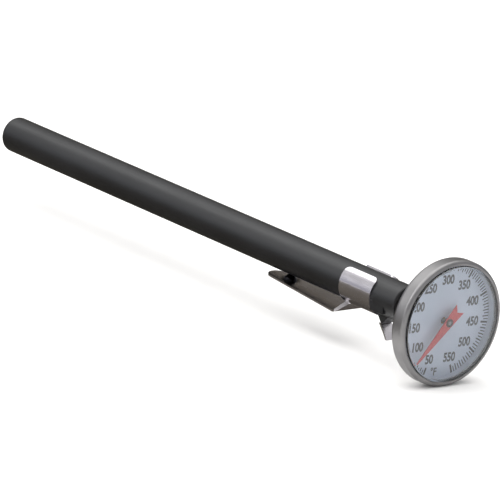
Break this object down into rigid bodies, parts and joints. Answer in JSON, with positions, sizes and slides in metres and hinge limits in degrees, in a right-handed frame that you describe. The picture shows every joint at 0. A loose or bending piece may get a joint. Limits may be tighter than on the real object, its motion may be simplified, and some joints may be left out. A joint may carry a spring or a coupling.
{
  "type": "dial thermometer",
  "caption": "Pocket dial thermometer: round dial head on a thin bimetal stem, in a black sheath with a steel pocket clip.",
  "frame": {"origin": "on the stem's axis, at the end face of the nut's spigot, where the bare stem begins", "axes": "+Y along the stem to its tip, -Y is the way the dial faces, +Z is the dial's 12 o'clock, the pocket clip is on the -Z side"},
  "size_m": [0.027, 0.1467, 0.027],
  "materials": {
    "stem_stainless": "drawn and polished along its length",
    "turned_stainless": "turned, satin",
    "case_stainless": "drawn, satin",
    "bezel_stainless": "satin",
    "clip_stainless": "bright rolled sheet",
    "spring_steel": "oiled",
    "bimetal": "bright rolled strip",
    "brass": "turned",
    "white_nylon": "punched sheet",
    "dial_print": "satin white enamel with black print",
    "grey_plastic": "moulded",
    "gasket_rubber": "natural silicone, matte",
    "clear_crystal": "clear, polished",
    "pointer_red": "satin red paint",
    "black_plastic": "moulded, satin"
  },
  "bodies": {
    "stem": {"stem_tube": "stem_stainless", "stem_tip_plug": "stem_stainless", "calibration_nut": "turned_stainless", "retaining_ring": "spring_steel", "spring_washer": "spring_steel", "upper_shaft_bush": "brass", "lower_shaft_bush": "brass", "bimetal_helix": "bimetal", "helix_anchor": "turned_stainless"},
    "head": {"case_shell": "case_stainless", "case_boss": "turned_stainless", "thrust_washer": "white_nylon", "dial_plate": "dial_print", "spacer_ring": "grey_plastic", "crystal_gasket": "gasket_rubber", "crystal": "clear_crystal", "bezel_ring": "bezel_stainless"},
    "pointer": {"pointer": "pointer_red", "pointer_hub": "brass", "pointer_shaft": "turned_stainless", "shaft_collet": "brass"},
    "sheath": {"sheath_tube": "black_plastic", "pocket_clip": "clip_stainless"}
  },
  "joints": [
    {"name": "head_turn", "type": "hinge", "parent": "stem", "child": "head", "pos_m": [0, 0, 0], "axis": [0, 1, 0], "continuous": true},
    {"name": "pointer_turn", "type": "hinge", "parent": "stem", "child": "pointer", "pos_m": [0, 0, 0], "axis": [0, 1, 0], "range_deg": [-24, 299]},
    {"name": "sheath_slide", "type": "slide", "parent": "stem", "child": "sheath", "axis": [0, 1, 0], "range_m": [0, 0.135]}
  ]
}
